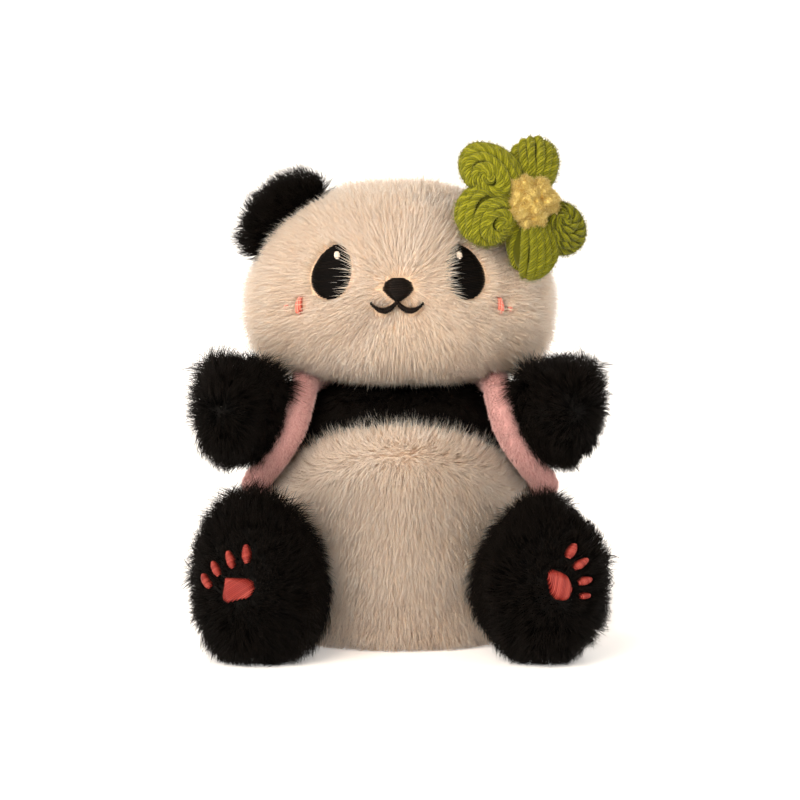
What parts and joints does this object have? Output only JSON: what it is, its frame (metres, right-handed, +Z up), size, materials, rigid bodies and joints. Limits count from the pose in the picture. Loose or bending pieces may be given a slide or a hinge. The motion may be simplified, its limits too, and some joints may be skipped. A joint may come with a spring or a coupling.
{
  "type": "plush panda toy",
  "caption": "Small seated plush panda with long silky pile, stitched face and paw prints, a crocheted flower at one ear and a strapped pouch on its back.",
  "frame": {"origin": "middle of the flat sewn seat that the toy rests on", "axes": "+Z up, the face looks along -Y, the toy's own left is +X"},
  "size_m": [0.108, 0.0917, 0.1385],
  "materials": {
    "white_plush": "long silky pile",
    "black_plush": "long silky pile",
    "stuffing": "loose polyester fibre",
    "black_thread": "satin-stitch embroidery",
    "white_thread": "satin-stitch embroidery",
    "coral_thread": "satin-stitch embroidery",
    "pink_velvet": "short-nap velvet",
    "green_yarn": "crocheted plied yarn",
    "yellow_yarn": "knotted brushed yarn",
    "sewing_thread": "gathered thread"
  },
  "bodies": {
    "torso": {"seat_panel": "white_plush", "belly_panel": "white_plush", "back_panel": "white_plush", "chest_band": "black_plush", "torso_stuffing": "stuffing", "left_strap": "pink_velvet", "right_strap": "pink_velvet", "pouch": "pink_velvet"},
    "neck": {"neck_seam_ring": "sewing_thread"},
    "head": {"face_panel": "white_plush", "head_back_panel": "white_plush", "head_stuffing": "stuffing", "left_eye": "black_thread", "right_eye": "black_thread", "left_eye_highlight": "white_thread", "right_eye_highlight": "white_thread", "nose": "black_thread", "mouth": "black_thread", "left_cheek_stitch_inner": "coral_thread", "left_cheek_stitch_outer": "coral_thread", "right_cheek_stitch_inner": "coral_thread", "right_cheek_stitch_outer": "coral_thread"},
    "flower": {"flower_petal_1": "green_yarn", "flower_petal_2": "green_yarn", "flower_petal_3": "green_yarn", "flower_petal_4": "green_yarn", "flower_petal_5": "green_yarn", "flower_centre": "yellow_yarn", "flower_backing": "green_yarn", "flower_sewing": "sewing_thread"},
    "left_ear": {"left_ear_front": "black_plush", "left_ear_back": "black_plush"},
    "left_arm": {"left_arm_skin": "black_plush", "left_arm_stuffing": "stuffing"},
    "left_leg": {"left_leg_skin": "black_plush", "left_leg_stuffing": "stuffing", "left_main_pad": "coral_thread", "left_toe_pad_1": "coral_thread", "left_toe_pad_2": "coral_thread", "left_toe_pad_3": "coral_thread", "left_toe_pad_4": "coral_thread"},
    "right_ear": {"right_ear_front": "black_plush", "right_ear_back": "black_plush"},
    "right_arm": {"right_arm_skin": "black_plush", "right_arm_stuffing": "stuffing"},
    "right_leg": {"right_leg_skin": "black_plush", "right_leg_stuffing": "stuffing", "right_main_pad": "coral_thread", "right_toe_pad_1": "coral_thread", "right_toe_pad_2": "coral_thread", "right_toe_pad_3": "coral_thread", "right_toe_pad_4": "coral_thread"}
  },
  "joints": [
    {"name": "head_turn", "type": "hinge", "parent": "torso", "child": "neck", "pos_m": [0, -0.003, 0.072], "axis": [0, 0, 1], "range_deg": [-10, 10], "stiffness_Nm_per_rad": 0.15},
    {"name": "head_nod", "type": "hinge", "parent": "neck", "child": "head", "pos_m": [0, -0.003, 0.074], "axis": [1, 0, 0], "range_deg": [-6, 6], "stiffness_Nm_per_rad": 0.4},
    {"name": "right_ear_flop", "type": "hinge", "parent": "head", "child": "right_ear", "pos_m": [-0.0295, -0.003, 0.1149], "axis": [0.6564, 0, 0.7544], "range_deg": [-15, 15], "stiffness_Nm_per_rad": 0.02},
    {"name": "left_ear_flop", "type": "hinge", "parent": "head", "child": "left_ear", "pos_m": [0.0295, -0.003, 0.1149], "axis": [-0.6564, 0, 0.7544], "range_deg": [0, 12], "stiffness_Nm_per_rad": 0.02},
    {"name": "flower_tilt", "type": "hinge", "parent": "left_ear", "child": "flower", "pos_m": [0.0346, -0.015, 0.119], "axis": [0.9368, 0.3499, 0], "range_deg": [-8, 8], "stiffness_Nm_per_rad": 0.02},
    {"name": "left_arm_raise", "type": "hinge", "parent": "torso", "child": "left_arm", "pos_m": [0.0335, -0.006, 0.06], "axis": [-0.8883, -0.4592, 0], "range_deg": [0, 20], "stiffness_Nm_per_rad": 0.05},
    {"name": "right_arm_raise", "type": "hinge", "parent": "torso", "child": "right_arm", "pos_m": [-0.0335, -0.006, 0.06], "axis": [-0.8883, 0.4592, 0], "range_deg": [0, 20], "stiffness_Nm_per_rad": 0.05},
    {"name": "left_leg_lift", "type": "hinge", "parent": "torso", "child": "left_leg", "pos_m": [0.0295, -0.0136, 0.0165], "axis": [-0.9326, -0.361, 0], "range_deg": [0, 20], "stiffness_Nm_per_rad": 0.08},
    {"name": "right_leg_lift", "type": "hinge", "parent": "torso", "child": "right_leg", "pos_m": [-0.0295, -0.0136, 0.0165], "axis": [-0.9326, 0.361, 0], "range_deg": [0, 20], "stiffness_Nm_per_rad": 0.08}
  ]
}
